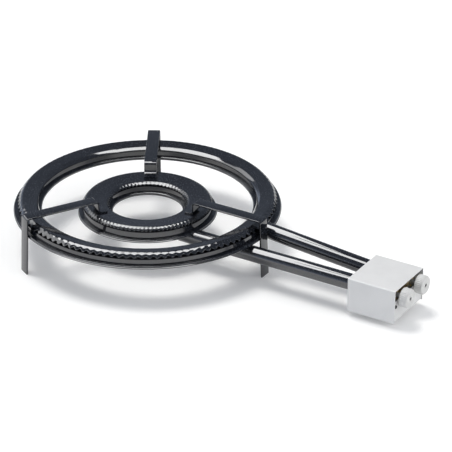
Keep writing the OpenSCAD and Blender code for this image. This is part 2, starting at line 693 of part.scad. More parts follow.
// Fluted knob with a recess for its screw and a D-shaped socket
module knob(y) color(knob_grey) difference() {
    translate([knob_back_x, y, tap_z]) rotate([0, 90, 0]) rotate_extrude() polygon([
        [0, 0], [knob_d / 2, 0], [knob_d / 2, knob_len - knob_bevel],
        [knob_d / 2 - knob_bevel, knob_len], [0, knob_len]]);
    for (i = [0 : knob_flutes - 1])
        rod_x(knob_back_x - over, knob_front_x + over, 2 * flute_r,
            y + (knob_d / 2 + flute_r / 2) * cos(360 * i / knob_flutes),
            tap_z + (knob_d / 2 + flute_r / 2) * sin(360 * i / knob_flutes));
    rod_x(knob_recess_x, knob_front_x + over, knob_recess_d, y, tap_z);
    rod_x(knob_socket_x - over, knob_front_x, knob_screw_d + 2 * screw_gap, y, tap_z);
    difference() {
        rod_x(knob_back_x - over, knob_socket_x, spindle_d + 2 * run_gap, y, tap_z);
        translate([knob_back_x, y - spindle_d, tap_z + spindle_d / 2 - flat_depth + run_gap])
            cube([knob_len, 2 * spindle_d, spindle_d]);
    }
}

module knob_screw(y) color(steel) translate([knob_recess_x, y, tap_z])
    pan_screw_x(knob_screw_d, knob_screw_len, knob_recess_d - 2 * knob_head_gap, knob_head_h);

module inner_tap_body() tap_body(tap_y[0]);
module inner_tap_seal() tap_seal(tap_y[0]);
module inner_tap_bonnet() tap_bonnet(tap_y[0]);
module inner_bonnet_screws() bonnet_screws(tap_y[0]);
module inner_injector() injector(tap_y[0]);
module inner_tap_plug() tap_plug(tap_y[0]);
module inner_tap_spring() tap_spring(tap_y[0]);
module inner_tap_spindle() tap_spindle(tap_y[0]);
module inner_knob() knob(tap_y[0]);
module inner_knob_screw() knob_screw(tap_y[0]);
module outer_tap_body() tap_body(tap_y[1]);
module outer_tap_seal() tap_seal(tap_y[1]);
module outer_tap_bonnet() tap_bonnet(tap_y[1]);
module outer_bonnet_screws() bonnet_screws(tap_y[1]);
module outer_injector() injector(tap_y[1]);
module outer_tap_plug() tap_plug(tap_y[1]);
module outer_tap_spring() tap_spring(tap_y[1]);
module outer_tap_spindle() tap_spindle(tap_y[1]);
module outer_knob() knob(tap_y[1]);
module outer_knob_screw() knob_screw(tap_y[1]);

outer_ring_cap();
outer_ring_pan();
inner_ring_cap();
inner_ring_pan();
leg_tube_side();
leg_far_side();
leg_near_side();
outer_ring_tube();
inner_ring_tube();
control_box_frame();
control_box_cover();
cover_screws();
gas_manifold();
manifold_spacers();
manifold_bolts();
hose_nipple();
nipple_washer();
inner_tap_body();
inner_tap_seal();
inner_tap_bonnet();
inner_bonnet_screws();
inner_injector();
inner_tap_plug();
inner_tap_spring();
inner_tap_spindle();
inner_knob();
inner_knob_screw();
outer_tap_body();
outer_tap_seal();
outer_tap_bonnet();
outer_bonnet_screws();
outer_injector();
outer_tap_plug();
outer_tap_spring();
outer_tap_spindle();
outer_knob();
outer_knob_screw();
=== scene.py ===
import json
import math
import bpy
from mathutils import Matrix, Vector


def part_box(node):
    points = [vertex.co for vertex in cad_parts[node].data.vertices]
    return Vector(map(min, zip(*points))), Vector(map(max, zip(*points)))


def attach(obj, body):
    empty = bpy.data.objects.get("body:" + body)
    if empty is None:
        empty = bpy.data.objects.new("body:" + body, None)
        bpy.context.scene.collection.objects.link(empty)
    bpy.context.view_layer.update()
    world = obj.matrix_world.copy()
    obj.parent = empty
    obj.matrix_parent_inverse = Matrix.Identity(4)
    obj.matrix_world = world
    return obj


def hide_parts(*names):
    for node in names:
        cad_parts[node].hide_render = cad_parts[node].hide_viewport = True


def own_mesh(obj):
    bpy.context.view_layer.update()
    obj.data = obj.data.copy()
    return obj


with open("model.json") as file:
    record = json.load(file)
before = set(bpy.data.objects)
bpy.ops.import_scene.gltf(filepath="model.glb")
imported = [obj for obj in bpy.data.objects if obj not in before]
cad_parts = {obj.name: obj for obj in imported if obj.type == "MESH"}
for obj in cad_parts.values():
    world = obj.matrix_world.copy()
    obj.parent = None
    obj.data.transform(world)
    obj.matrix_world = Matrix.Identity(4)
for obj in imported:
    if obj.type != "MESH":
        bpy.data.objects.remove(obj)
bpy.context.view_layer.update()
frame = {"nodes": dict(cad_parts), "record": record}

from types import SimpleNamespace

import bmesh
import bpy
import numpy as np
from bpy.props import FloatProperty, FloatVectorProperty, IntProperty, PointerProperty
from mathutils import Vector

bl_info = {
    "name": "Paella burner",
    "version": (1, 0, 0),
    "blender": (4, 5, 0),
    "location": "3D View > Sidebar > Burner",
    "description": "Two-ring gas burner with corrugated enamelled rings, strip legs and a control box",
    "category": "Add Mesh",
}

BODIES = frame["record"]["behaviour"]["bodies"]
BODY_OF = {node: body for body, members in BODIES.items() for node in members}
FULL_TURN = 2 * math.pi

# Each ring has a tube, a tap and a knob that go by its name
RINGS = ("inner", "outer")

# The burner's axis: a point on it, its direction and the side where turns begin
BURNER_AXIS = ((0, 0, 0), (0, 0, 1), (1, 0, 0))

# How finely surfaces are divided: points round a full turn, to a flute, along a spring and round its wire
PAN_STEPS = 288
TUBE_STEPS = 72
SCREW_STEPS = 64
CAP_FLUTE_STEPS = 12
GRIP_FLUTE_STEPS = 8
SPRING_STEPS = 120
WIRE_STEPS = 12

# What counts as one point of a copied solid, in metres, and as flat, sharp or to be bevelled, in degrees
MERGE_DISTANCE = 2e-6
FLAT_ANGLE = 0.5
COPY_SHARP_ANGLE = 30
BEVEL_ANGLE = 40
SHARP_ANGLE = 40
SCREW_SHARP_ANGLE = 50


# Properties

def length(name, description, metres):
    """A size in metres."""
    return FloatProperty(name=name, description=description, default=metres, unit="LENGTH", precision=5)


def count(name, description, number):
    """A number of like shapes."""
    return IntProperty(name=name, description=description, default=number, min=3)


def turn(name, description, degrees):
    """An angle, shown in degrees and kept in radians."""
    return FloatProperty(name=name, description=description, default=math.radians(degrees), subtype="ANGLE")


def number(name, description, value):
    """A plain factor."""
    return FloatProperty(name=name, description=description, default=value, precision=4)


def colour(name, description, rgb):
    """A linear colour."""
    return FloatVectorProperty(name=name, description=description, default=rgb, size=3, subtype="COLOR")


class RingSizes(bpy.types.PropertyGroup):
    """Sizes of the two pressed rings."""
    sheet: length("Sheet", "Thickness of the pressed sheet", 0.0012)
    rim_width: length("Rim width", "Width of the rolled outer rims", 0.0065)
    hole_rim_width: length("Hole rim width", "Width of the rolled rims round the holes", 0.0052)
    rim_height: length("Rim height", "Height of the rolled rims", 0.0046)
    outer_width: length("Outer ring width", "Radial width of the outer ring", 0.0425)
    inner_width: length("Inner ring width", "Radial width of the inner ring", 0.052)
    outer_shoulder: length("Outer shoulder", "Width of the outer ring's corrugated shoulder", 0.008)
    inner_shoulder: length("Inner shoulder", "Width of the inner ring's corrugated shoulder", 0.0065)
    hole_shoulder: length("Hole shoulder", "Width of the shoulder round the inner hole", 0.0053)
    hole_drop: length("Hole shoulder drop", "Height of the shoulder round the inner hole", 0.0044)
    smooth_shoulder: length("Smooth shoulder", "Width of the shoulder round the outer hole", 0.005)
    smooth_drop: length("Smooth shoulder drop", "Height of the shoulder round the outer hole", 0.004)
    lip: length("Lip", "Width of the lip along the corrugated edges", 0.0007)
    upper_tilt: turn("Upper tilt", "Tilt of a corrugated shoulder below its crest", 34)
    lower_tilt: turn("Lower tilt", "Tilt of a corrugated shoulder above its cut edge", 52)
    outer_fall: turn("Outer fall", "Fall of the outer ring's top towards the axis", 10.5)
    inner_fall: turn("Inner fall", "Fall of the inner ring's top towards the axis", 6)
    crest_bend: length("Crest bend", "Bend radius at the crests of the caps", 0.003)
    soft_bend: length("Soft bend", "Bend radius where a top face turns down to its hole", 0.0014)
    roll_bend: length("Roll bend", "Bend radius of the rolled rims", 0.0015)
    groove: length("Groove", "Depth of the groove at the foot of a pan's wall", 0.001)
    groove_width: length("Groove width", "Width of the groove at the foot of a pan's wall", 0.0022)
    rim_lip: length("Rim lip", "Width of the crimped lip along a rolled outer rim", 0.001)
    crimp: length("Crimp", "Depth of the crimp line below a rim's top", 0.0016)
    port_share: number("Port share", "Part of a shoulder's width that the ports are deep", 0.38)
    port_lift: length("Port lift", "How far the sheet is lifted above a port", 0.0007)
    outer_flutes: count("Outer flutes", "Corrugations round the outer ring", 109)
    inner_flutes: count("Inner flutes", "Corrugations round the inner ring", 99)
    hole_flutes: count("Hole flutes", "Corrugations round the inner ring's hole", 62)


class StripSizes(bpy.types.PropertyGroup):
    """Sizes of the strip legs and of the mixing tubes."""
    width: length("Strip width", "Width of the leg strip", 0.019)
    thickness: length("Strip thickness", "Thickness of the leg strip", 0.0025)
    edge: length("Strip edge", "Rounding of the strip's edges", 0.0005)
    lean: turn("Leg lean", "Outward lean of the legs", 2.5)
    bend: length("Strip bend", "Bend radius along the strip's outer face", 0.0045)
    flange: length("Flange", "Length of the flange that lies on the inner ring", 0.013)
    flange_inset: length("Flange inset", "Distance of the drop inside the inner ring's crest", 0.0045)
    weld_gap: length("Weld gap", "Gap at welded joints", 0.00005)
    tube_wall: length("Tube wall", "Wall of the mixing tubes", 0.0015)
    tube_end: length("Tube end rounding", "Rounding of the closed tube ends", 0.0015)


class KnobSizes(bpy.types.PropertyGroup):
    """Sizes of the knobs, the screws and the fittings."""
    bevel: length("Knob bevel", "Rounding of the knob's front edge", 0.0024)
    recess: length("Knob recess", "Radius of the recess in the knob's face", 0.0027)
    recess_depth: length("Recess depth", "Depth of the recess in the knob's face", 0.0024)
    socket: length("Knob socket", "Radius of the socket for the spindle", 0.00405)
    socket_depth: length("Socket depth", "Depth of the socket for the spindle", 0.0093)
    screw_hole: length("Screw hole", "Radius of the hole for the knob screw", 0.0017)
    flute_depth: length("Grip flute depth", "Depth of the soft grip flutes", 0.00045)
    flutes: count("Grip flutes", "Soft grip flutes round the knob", 32)
    ring_groove: length("Ring groove", "Depth of the two turned grooves round the knob", 0.0006)
    knob_screw_rise: length("Knob screw head", "Height of a knob screw's head", 0.0016)
    screw_shank: length("Screw shank", "Radius of the screws' shanks", 0.0015)
    cover_head: length("Cover screw radius", "Radius of a cover screw's head", 0.0029)
    cover_rise: length("Cover screw head", "Height of a cover screw's head", 0.0018)
    cover_reach: length("Cover screw reach", "Length of a cover screw below its head", 0.006)
    spring_wire: length("Spring wire", "Radius of the tap springs' wire", 0.00035)
    spring_turns: number("Spring turns", "Turns of a tap spring", 2.5)
    edge_break: length("Edge break", "Bevel on the edges of fittings", 0.00035)
    sheet_edge: length("Sheet edge", "Bevel on the cut edges of the box sheet", 0.00028)


class FinishColours(bpy.types.PropertyGroup):
    """Base colours of the finishes."""
    enamel: colour("Enamel", "Black vitreous enamel", (0.0065, 0.0075, 0.0105))
    enamel_fleck: colour("Enamel fleck", "Pale flecks in the enamel", (0.16, 0.172, 0.2))
    powder: colour("Powder coat", "White powder coat of the control box", (0.735, 0.735, 0.732))
    knob: colour("Knob plastic", "Light grey plastic of the knobs", (0.63, 0.63, 0.62))
    brass: colour("Brass", "Machined brass", (0.84, 0.66, 0.36))
    zinc: colour("Zinc", "Zinc plated steel", (0.56, 0.57, 0.59))
    # Painted shade: the screws' near-black colour stands for the shade they sit in, in the knob recesses and
    # on the box
    dark_steel: colour("Dark steel", "Blackened screws", (0.06, 0.06, 0.062))
    copper: colour("Copper", "Soft copper washers", (0.72, 0.36, 0.22))
    floor: colour("Floor", "Pale floor", (0.96, 0.96, 0.955))


class StageSettings(bpy.types.PropertyGroup):
    """Camera and lamps."""
    azimuth: turn("Camera azimuth", "Turn of the camera about the burner", 31.5)
    elevation: turn("Camera elevation", "Height of the camera above the horizon", 27.5)
    distance: length("Camera distance", "Distance of the camera from its target", 4.0)
    lens: number("Lens", "Focal length in millimetres on a sensor of 36 mm", 209.41)
    target_right: length("Target right", "Target's distance right of the burner's axis", 0.117)
    target_back: length("Target back", "Target's distance behind the burner's axis", 0.0488)
    key_strength: number("Key strength", "Irradiance of the soft key light", 1.5)
    key_spread: turn("Key spread", "Angle across the soft key light", 24)
    key_tilt: turn("Key tilt", "Tilt of the key light from overhead", 20)
    key_from: turn("Key azimuth", "Direction that the key light comes from", 166)
    fill_strength: number("Fill strength", "Irradiance of the light from all round", 1.15)
    fill_spread: turn("Fill spread", "Angle across the light from all round", 150)
    low_strength: number("Low strength", "Irradiance of the low light from the knob side", 1.1)
    low_spread: turn("Low spread", "Angle across the low light", 60)
    low_tilt: turn("Low tilt", "Tilt of the low light from overhead", 74)
    low_from: turn("Low azimuth", "Direction that the low light comes from", 10)
    panel_height: length("Panel height", "Height of the panels above the floor", 1.7)
    floor_lift: number("Floor lift", "Extra brightness of the floor for the camera and the gloss", 0.11)
    floor_reach: length("Floor reach", "Half the width of the floor", 4.0)


# Surfaces

def unit(vector):
    """A vector scaled to length one."""
    return vector / np.linalg.norm(vector)


def rounded_path(corners, radii, steps):
    """Straight runs whose inner corners are arcs. An arc of radius r at a corner of half angle h starts and
    ends r / tan h from the corner, and its centre lies r / sin h from it on the line that halves it."""
    corners = np.asarray(corners, float)
    share = np.linspace(0, 1, steps + 1)[:, None]
    runs = [corners[:1]]
    for before, corner, after, radius in zip(corners[:-2], corners[1:-1], corners[2:], radii):
        to_before, to_after = unit(before - corner), unit(after - corner)
        half = math.acos(np.clip(to_before @ to_after, -1, 1)) / 2
        centre = corner + unit(to_before + to_after) * radius / math.sin(half)
        start = corner + to_before * radius / math.tan(half) - centre
        end = corner + to_after * radius / math.tan(half) - centre
        sweep = math.pi - 2 * half
        arc = (np.sin((1 - share) * sweep) * start + np.sin(share * sweep) * end) / math.sin(sweep)
        runs.append(centre + arc)
    runs.append(corners[-1:])
    return np.concatenate(runs)


def resampled(path, step):
    """A path whose runs are split evenly, so that no two points are further apart than the step."""
    delta = np.diff(path, axis=0)
    parts = np.maximum(np.ceil(np.linalg.norm(delta, axis=1) / step).astype(int), 1)
    place = np.arange(parts.sum()) - np.repeat(np.cumsum(parts) - parts, parts)
    start = np.repeat(path[:-1], parts, axis=0)
    stride = np.repeat(delta / parts[:, None], parts, axis=0)
    return np.concatenate([start + stride * place[:, None], path[-1:]])


def left_normals(path):
    """Normals to the left of a flat path, mitred: both runs' normals added, over one plus their product."""
    along = np.diff(path, axis=0)
    along /= np.linalg.norm(along, axis=1)[:, None]
    normal = np.stack([-along[:, 1], along[:, 0]], axis=1)
    before = np.concatenate([normal[:1], normal])
    after = np.concatenate([normal, normal[-1:]])
    return (before + after) / (1 + np.sum(before * after, axis=1))[:, None]


def sheet_loop(path, thickness, step, steps):
    """Closed outline of a bent sheet: one face is the path, the other lies the thickness to its left, and
    half circles close both cut edges."""
    half = thickness / 2
    first, last = unit(path[0] - path[1]), unit(path[-1] - path[-2])
    face = path.copy()
    face[0] -= first * half
    face[-1] -= last * half
    face = resampled(face, step)
    normal = left_normals(face)
    other = face + thickness * normal
    angle = np.linspace(0, math.pi, steps + 2)[1:-1, None]
    far_edge = face[-1] + half * (normal[-1] * (1 - np.cos(angle)) + last * np.sin(angle))
    near_edge = other[0] - half * (normal[0] * (1 - np.cos(angle)) - first * np.sin(angle))
    return np.concatenate([face, far_edge, other[::-1], near_edge])


def rounded_rectangle(width, depth, radius, steps):
    """Outline of a rectangle with quarter circles at its corners, anticlockwise from the lower right one."""
    quarter = np.linspace(0, math.pi / 2, steps + 1)
    angle = (np.arange(-1, 3)[:, None] * math.pi / 2 + quarter).ravel()
    side = np.repeat([[1, -1], [1, 1], [-1, 1], [-1, -1]], steps + 1, axis=0)
    centre = side * (np.array([width, depth]) / 2 - radius)
    return centre + radius * np.stack([np.cos(angle), np.sin(angle)], axis=1)


def grid_faces(rows, columns, wrap_rows):
    """Quads between neighbouring points of a grid whose columns wrap round. If its rows don't, one many-sided
    face closes its first row and one its last."""
    row, column = np.meshgrid(np.arange(rows if wrap_rows else rows - 1), np.arange(columns), indexing="ij")
    row_after, column_after = (row + 1) % rows, (column + 1) % columns
    corners = [(row, column), (row, column_after), (row_after, column_after), (row_after, column)]
    quads = np.stack([i * columns + j for i, j in corners], axis=-1).reshape(-1, 4).tolist()
    ends = [list(range(columns))[::-1], list(range((rows - 1) * columns, rows * columns))]
    return quads if wrap_rows else quads + ends


def angles(steps):
    """Even steps of a full turn."""
    return np.linspace(0, FULL_TURN, steps, endpoint=False)


def lathed(along, radius, angle, start, axis, side):
    """A profile carried round an axis through start: a distance along it plus a radius turned about it, where
    the turn runs from side to the cross product of axis and side. Distance and radius have a row per profile
    point and may have a column per angle."""
    axis, side = np.asarray(axis, float), np.asarray(side, float)
    other = np.cross(axis, side)
    along, radius, angle = (part[..., None] for part in np.broadcast_arrays(along, radius, angle))
    return start + along * axis + radius * (np.cos(angle) * side + np.sin(angle) * other)


def zigzag(angle, flutes):
    """A softened triangle wave round the axis, from 0 at a tip to 1 at a root: the arc sine of a cosine."""
    softness = 0.985
    return 0.5 - 0.5 * np.arcsin(softness * np.cos(flutes * angle)) / math.asin(softness)


def eased(value, start, end):
    """0 at start and 1 at end, with a smooth cubic step between them."""
    share = np.clip((value - start) / (end - start), 0, 1)
    return share * share * (3 - 2 * share)


# Pieces


def add_piece(context, name, points, faces, look, nodes, crease=SHARP_ANGLE):
    """Makes a mesh of a grid's points, turns its faces outwards, and lets it ride in place of CAD nodes."""
    mesh = bpy.data.meshes.new(name)
    mesh.from_pydata(points.reshape(-1, 3).tolist(), [], faces)
    work = bmesh.new()
    work.from_mesh(mesh)
    bmesh.ops.recalc_face_normals(work, faces=work.faces)
    work.to_mesh(mesh)
    work.free()
    mesh.shade_smooth()
    mesh.set_sharp_from_angle(angle=math.radians(crease))
    return settle(context, bpy.data.objects.new(name, mesh), look, nodes)


def settle(context, piece, look, nodes):
    """Gives a piece its finish, and puts it on the body of the nodes that it stands for."""
    piece.data.materials.clear()
    piece.data.materials.append(finish(context, look))
    context.scene.collection.objects.link(piece)
    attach(piece, BODY_OF[nodes[0]])
    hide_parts(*nodes)
    return piece


def bevelled_copy(context, node, name, look, width):
    """A merged copy of a CAD node's mesh whose sharp edges are broken by a bevel."""
    mesh = frame["nodes"][node].data.copy()
    mesh.name = name
    work = bmesh.new()
    work.from_mesh(mesh)
    bmesh.ops.remove_doubles(work, verts=work.verts, dist=MERGE_DISTANCE)
    bmesh.ops.dissolve_limit(work, angle_limit=math.radians(FLAT_ANGLE), verts=work.verts, edges=work.edges)
    work.to_mesh(mesh)
    work.free()
    mesh.shade_smooth()
    mesh.set_sharp_from_angle(angle=math.radians(COPY_SHARP_ANGLE))
    piece = settle(context, bpy.data.objects.new(name, mesh), look, [node])
    bevel = piece.modifiers.new("broken edges", "BEVEL")
    bevel.width = width
    bevel.segments = 2
    bevel.limit_method = "ANGLE"
    bevel.angle_limit = math.radians(BEVEL_ANGLE)
    bevel.harden_normals = True
    return piece


# Finishes

def new_finish(name):
    """A material with its shader, and the object coordinates that its patterns read."""
    material = bpy.data.materials.new(name)
    material.use_nodes = True
    tree = material.node_tree
    place = tree.nodes.new("ShaderNodeTexCoord").outputs["Object"]
    return material, tree, tree.nodes["Principled BSDF"], place


def new_node(tree, kind, links, values):
    """A shader node with some of its sockets linked to others and some set to values."""
    node = tree.nodes.new(f"ShaderNode{kind}")
    for socket, source in links.items():
        tree.links.new(source, node.inputs[socket])
    for socket, value in values.items():
        node.inputs[socket].default_value = value
    return node


def noise(tree, place, scale, detail=2.0):
    """Noise with so many cells to the metre."""
    return new_node(tree, "TexNoise", {"Vector": place}, {"Scale": scale, "Detail": detail}).outputs[0]


def ranged(tree, value, low, high, to_low, to_high):
    """Maps a value from one range to another, and holds it at the ends."""
    ends = {"From Min": low, "From Max": high, "To Min": to_low, "To Max": to_high}
    return new_node(tree, "MapRange", {"Value": value}, ends).outputs["Result"]


def combined(tree, operation, first, second):
    """Two values added or multiplied, by the name of the operation."""
    node = new_node(tree, "Math", {0: first, 1: second}, {})
    node.operation = operation
    return node.outputs["Value"]


def mixed(tree, factor, first, second):
    """A colour that goes from the first to the second with the factor. Either may be a colour or a socket."""
    node = new_node(tree, "Mix", {"Factor": factor}, {})
    node.data_type = "RGBA"
    for socket, value in zip(node.inputs[6:8], (first, second)):
        if isinstance(value, bpy.types.NodeSocket):
            tree.links.new(value, socket)
        else:
            socket.default_value = (*value, 1)
    return node.outputs[2]


def bumped(tree, height, distance, strength, under=None):
    """A bump of a real height in metres, over another bump where one is given."""
    links = {"Height": height} if under is None else {"Height": height, "Normal": under}
    return new_node(tree, "Bump", links, {"Distance": distance, "Strength": strength}).outputs["Normal"]


def scaled(rgb, factor):
    """A colour made lighter or darker."""
    return tuple(min(part * factor, 1) for part in rgb)


def dress(tree, shader, tone, rough, normal):
    """Links a finish's colour, roughness and bump to its shader."""
    for socket, source in (("Base Color", tone), ("Roughness", rough), ("Normal", normal)):
        tree.links.new(source, shader.inputs[socket])


def flecked(tree, place, ground, rgb):
    """A colour with fine flecks, which are the middles of some of the cells of a random pattern."""
    cells = new_node(tree, "TexVoronoi", {"Vector": place}, {"Scale": 900}).outputs
    split = new_node(tree, "SeparateColor", {"Color": cells["Color"]}, {})
    chosen = ranged(tree, split.outputs[0], 0.55, 1.0, 0, 1)
    fleck = combined(tree, "MULTIPLY", ranged(tree, cells["Distance"], 0.15, 0.38, 1, 0), chosen)
    return mixed(tree, fleck, ground, tuple(rgb))


# Coats: colour and its two shades, cells to the metre, detail and range of the clouds and of the roughness,
# cells to the metre, height and strength of each bump, and index of refraction
COATS = {
    "glossy_enamel": ("enamel", (0.8, 1.25), (35, 2, 0.3, 0.7), (220, 3, 0.05, 0.09),
                      ((260, 0.00012, 0.08), (1500, 0.00003, 0.12)), 1.9),
    "white_powder_coat": ("powder", (1, 0.94), (28, 4, 0.45, 0.75), (120, 3, 0.32, 0.46),
                          ((700, 0.00008, 0.16), (2600, 0.00003, 0.12)), 1.5),
    "satin_plastic": ("knob", (1.03, 0.93), (160, 3, 0.3, 0.75), (900, 2, 0.4, 0.52),
                      ((3800, 0.00003, 0.2),), 1.5),
}

# Bare metals: colour, darkening by tarnish, tool marks to the metre along each axis, roughness, patches of
# tarnish to the metre, and how metallic the surface is
METALS = {
    "turned_brass": ("brass", 0.72, (2600, 90, 90), 0.3, 240, 0.3),
    "zinc_steel": ("zinc", 0.8, (1400, 240, 240), 0.34, 420, 0.8),
    # Painted shade: this near-black steel stands for the shade that the screws sit in
    "dark_steel": ("dark_steel", 0.6, (900, 900, 900), 0.42, 700, 0.8),
    "soft_copper": ("copper", 0.66, (300, 300, 1800), 0.36, 300, 0.8),
}


def coat_finish(name, rgb, fleck, shades, cloud, gloss, bumps, index):
    """Enamel, powder coat or moulded plastic: slightly cloudy, with uneven gloss, a fine grain of bumps one
    over another, and flecks if they have a colour."""
    material, tree, shader, place = new_finish(name)
    clouds = ranged(tree, noise(tree, place, *cloud[:2]), *cloud[2:], 0, 1)
    tone = mixed(tree, clouds, *(scaled(rgb, shade) for shade in shades))
    if fleck is not None:
        tone = flecked(tree, place, tone, fleck)
    rough = ranged(tree, noise(tree, place, *gloss[:2]), 0.3, 0.7, *gloss[2:])
    grain = None
    for cells, height, strength in bumps:
        grain = bumped(tree, noise(tree, place, cells), height, strength, grain)
    dress(tree, shader, tone, rough, grain)
    shader.inputs["IOR"].default_value = index
    return material


def metal_finish(name, rgb, tarnish, drawn, rough, fleck, metallic):
    """Bare or plated metal: drawn-out tool marks, patches of tarnish and uneven gloss."""
    material, tree, shader, place = new_finish(name)
    stretched = new_node(tree, "Mapping", {"Vector": place}, {"Scale": drawn}).outputs["Vector"]
    marks = noise(tree, stretched, 1, 3)
    patch = ranged(tree, noise(tree, place, fleck, 4), 0.42, 0.72, 0, 1)
    tone = mixed(tree, patch, tuple(rgb), scaled(rgb, tarnish))
    gloss = ranged(tree, marks, 0.3, 0.7, rough * 0.8, rough * 1.3)
    dress(tree, shader, tone, gloss, bumped(tree, marks, 0.00004, 0.25))
    shader.inputs["Metallic"].default_value = metallic
    return material


def finish(context, name):
    """The material of a finish, made when it is first asked for."""
    found = bpy.data.materials.get(name)
    if found:
        return found
    colours = context.scene.burner_colours
    if name in METALS:
        tone, *look = METALS[name]
        return metal_finish(name, getattr(colours, tone), *look)
    tone, *look = COATS[name]
    return coat_finish(name, getattr(colours, tone), getattr(colours, f"{tone}_fleck", None), *look)


# Rings

def ring_levels(context, ring):
    """Radii and heights that both sheets of a ring share, from the boxes of its CAD nodes. The two facets of
    the shoulder meet in the middle, and the profile gives the shoulder's fall by the share of its width."""
    sizes = context.scene.burner_rings
    width, shoulder = (getattr(sizes, f"{ring}_{size}") for size in ("width", "shoulder"))
    low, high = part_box(f"{ring}_ring_pan")
    wall = high.y - sizes.rim_width
    crest_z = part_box(f"{ring}_ring_cap")[1].z
    drop = crest_z - high.z - sizes.sheet
    soft, steep = math.tan(sizes.upper_tilt), math.tan(sizes.lower_tilt)
    lip_z = sizes.lip * soft
    facet = ((shoulder - sizes.lip) * steep - drop + lip_z) / (steep - soft)
    return SimpleNamespace(
        rim=high.y, wall=wall, hole=high.y - width, hole_wall=high.y - width + sizes.hole_rim_width,
        base=low.z, roll=low.z + sizes.rim_height, wall_z=high.z, edge_z=high.z + sizes.sheet,
        crest=wall - shoulder, crest_z=crest_z, middle=(wall - shoulder + facet, crest_z - facet * soft),
        lip=(wall - sizes.lip, high.z + sizes.sheet + lip_z),
        profile=((0, facet / shoulder, 1 - sizes.lip / shoulder, 1), (0, facet * soft, drop - lip_z, drop)))


def fallen(level, radius, fall):
    """Height of a cap's top face at a radius: the crest's, less the fall towards the axis."""
    return level.crest_z - (level.crest - radius) * math.tan(fall)


def add_cap(context, ring, path, shoulders, steps):
    """A pressed cap: the loop of its sheet carried round the axis. On each corrugated shoulder a zigzag
    shrinks the profile towards its crest and lifts its cut edge a little, so that ports are left."""
    sizes = context.scene.burner_rings
    loop = sheet_loop(path, sizes.sheet, step=0.003, steps=3)
    angle = angles(steps)
    radius, height = loop[:, :1], loop[:, 1:]
    for crest, edge, profile, flutes in shoulders:
        share = np.clip((loop[:, :1] - crest) / (edge - crest), 0, 1)
        wave = zigzag(angle, flutes)
        radius = radius + sizes.port_share * (crest - edge) * share * wave
        fall = np.interp(share, *profile)
        height = height + (sizes.port_share * fall + sizes.port_lift * share) * wave
    points = lathed(height, radius, angle, *BURNER_AXIS)
    faces = grid_faces(len(loop), steps, True)
    add_piece(context, f"{ring}_cap_corrugated", points, faces, "glossy_enamel", [f"{ring}_ring_cap"])


def add_pan(context, ring, level, hole_wall_z):
    """A pressed pan: wall, rolled rim with a crimp line, floor, rolled hole rim and hole wall, carried round
    the axis as one closed loop with the sheet's inner face a thickness inside it."""
    sizes = context.scene.burner_rings
    bend, sheet, lip = sizes.roll_bend, sizes.sheet, sizes.rim_lip
    tight = bend / 8
    foot, crimp = level.roll - sizes.groove, level.roll - sizes.crimp
    groove, hole_groove = level.wall + sizes.groove_width, level.hole_wall - sizes.groove_width
    outside = rounded_path(
        [(level.wall, level.wall_z), (level.wall, foot), (groove, foot), (groove, level.roll),
         (level.rim - lip, level.roll), (level.rim - lip / 2, crimp), (level.rim - lip, crimp - lip / 3),
         (level.rim, crimp - lip), (level.rim, level.base), (level.hole, level.base),
         (level.hole, level.roll), (hole_groove, level.roll), (hole_groove, foot), (level.hole_wall, foot),
         (level.hole_wall, hole_wall_z)],
        (tight, tight, tight, bend / 2, bend / 5, tight, bend / 4, bend, bend, bend, tight, tight, tight),
        steps=4)
    inner_rim, floor = level.rim - 2 * lip - sheet, level.base + sheet
    inside = rounded_path(
        [(level.wall - sheet, level.wall_z), (level.wall - sheet, foot - sheet), (inner_rim, foot - sheet),
         (inner_rim, floor), (level.hole + sheet, floor), (level.hole + sheet, foot - sheet),
         (level.hole_wall + sheet, foot - sheet), (level.hole_wall + sheet, hole_wall_z)],
        (tight,) * 6, steps=2)
    loop = np.concatenate([outside, inside[::-1]])
    points = lathed(loop[:, 1:], loop[:, :1], angles(PAN_STEPS), *BURNER_AXIS)
    faces = grid_faces(len(loop), PAN_STEPS, True)
    add_piece(context, f"{ring}_pan_pressed", points, faces, "glossy_enamel", [f"{ring}_ring_pan"])


def add_ring(context, ring, hole_shoulder, hole_drop, hole_flutes):
    """Cap and pan of a ring. The cap's path runs from its cut edge over the lip, both facets of the shoulder
    and the crest to its hole, where a shoulder with no flutes is smooth."""
    sizes, level = context.scene.burner_rings, ring_levels(context, ring)
    fall, flutes = (getattr(sizes, f"{ring}_{size}") for size in ("fall", "flutes"))
    top = level.hole_wall + hole_shoulder
    top_z = fallen(level, top, fall)
    edge_z = top_z - hole_drop
    path = rounded_path(
        [(level.wall, level.edge_z), level.lip, level.middle, (level.crest, level.crest_z), (top, top_z),
         (level.hole_wall, edge_z)],
        (sizes.soft_bend / 4, sizes.crest_bend, sizes.crest_bend, sizes.soft_bend), steps=5)
    shoulders = [(level.crest, level.wall, level.profile, flutes)]
    if hole_flutes:
        shoulders.append((top, level.hole_wall, ((0, 1), (0, hole_drop)), hole_flutes))
    add_cap(context, ring, path, shoulders, CAP_FLUTE_STEPS * flutes)
    add_pan(context, ring, level, edge_z - sizes.sheet)


class BURNER_OT_rings(bpy.types.Operator):
    """Add the corrugated caps and the pans of both rings"""
    bl_idname = "burner.rings"
    bl_label = "Rings"

    def execute(self, context):
        sizes = context.scene.burner_rings
        add_ring(context, "outer", sizes.smooth_shoulder, sizes.smooth_drop, 0)
        add_ring(context, "inner", sizes.hole_shoulder, sizes.hole_drop, sizes.hole_flutes)
        return {"FINISHED"}


